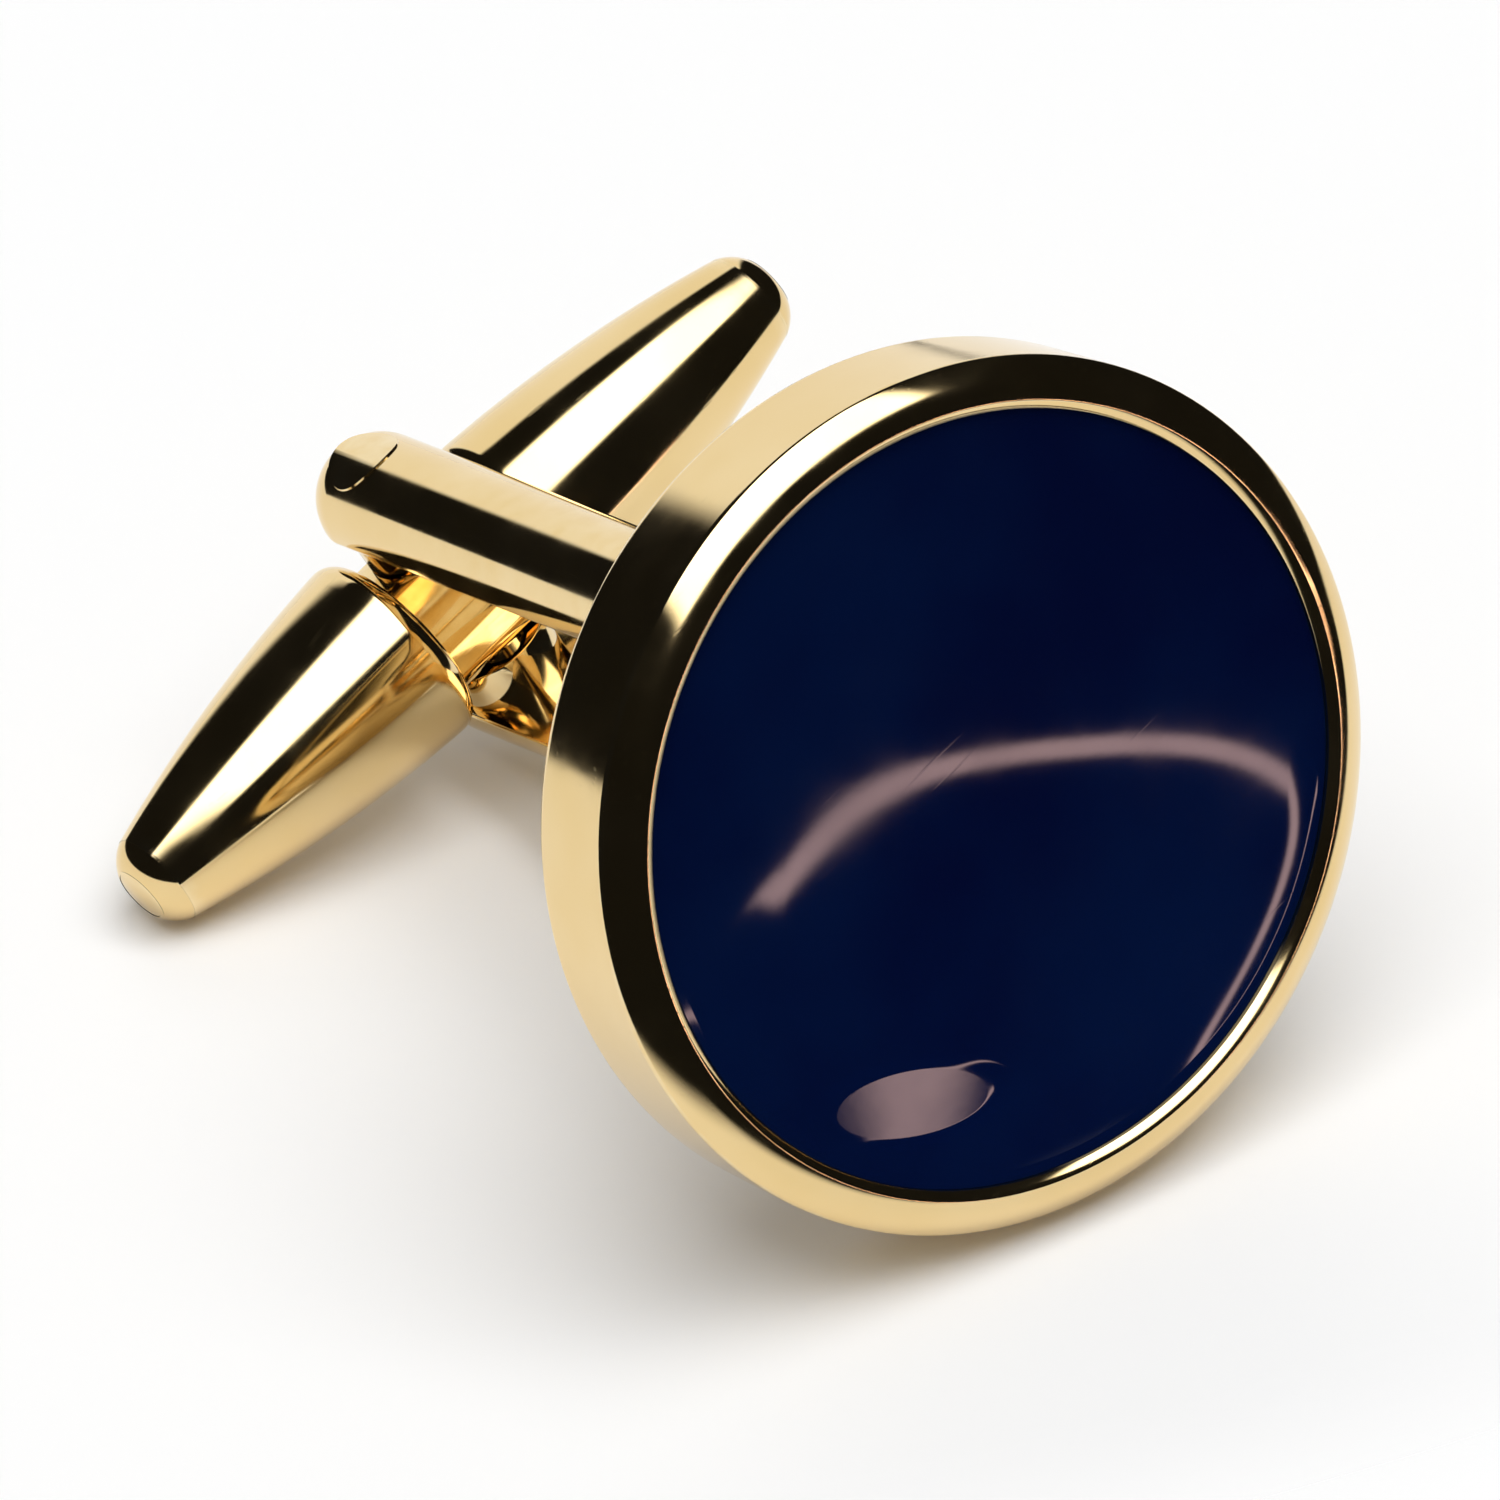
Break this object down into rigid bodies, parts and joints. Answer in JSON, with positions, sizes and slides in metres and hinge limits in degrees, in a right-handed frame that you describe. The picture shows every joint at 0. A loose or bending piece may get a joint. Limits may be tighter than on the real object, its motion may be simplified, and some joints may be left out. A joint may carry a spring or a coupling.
{
  "type": "cufflink",
  "caption": "Round gold-plated cufflink with a glossy navy enamel face, a two-armed fork post and a bullet toggle that swivels on a riveted pin.",
  "frame": {"origin": "middle of the head's back, where the post leaves it and the cuff bears on it", "axes": "+Y along the post from the head to the toggle, X along the open toggle, +Z along the pivot pin, up"},
  "size_m": [0.0186, 0.0227, 0.018],
  "materials": {
    "gold_plate": "mirror-polished brass with yellow gold plate",
    "navy_enamel": "glossy cold enamel, navy",
    "spring_steel": "bare rolled strip"
  },
  "bodies": {
    "head": {"bezel_cup": "gold_plate", "enamel_inlay": "navy_enamel", "back_plate": "gold_plate", "fork": "gold_plate", "pivot_pin": "gold_plate"},
    "toggle": {"toggle_core": "gold_plate", "toggle_cap_left": "gold_plate", "toggle_cap_right": "gold_plate", "detent_spring": "spring_steel"}
  },
  "joints": [
    {"name": "toggle_swivel", "type": "hinge", "parent": "head", "child": "toggle", "pos_m": [0, 0.0174, 0], "axis": [0, 0, 1], "range_deg": [-90, 90], "deforming": ["detent_spring"]}
  ]
}
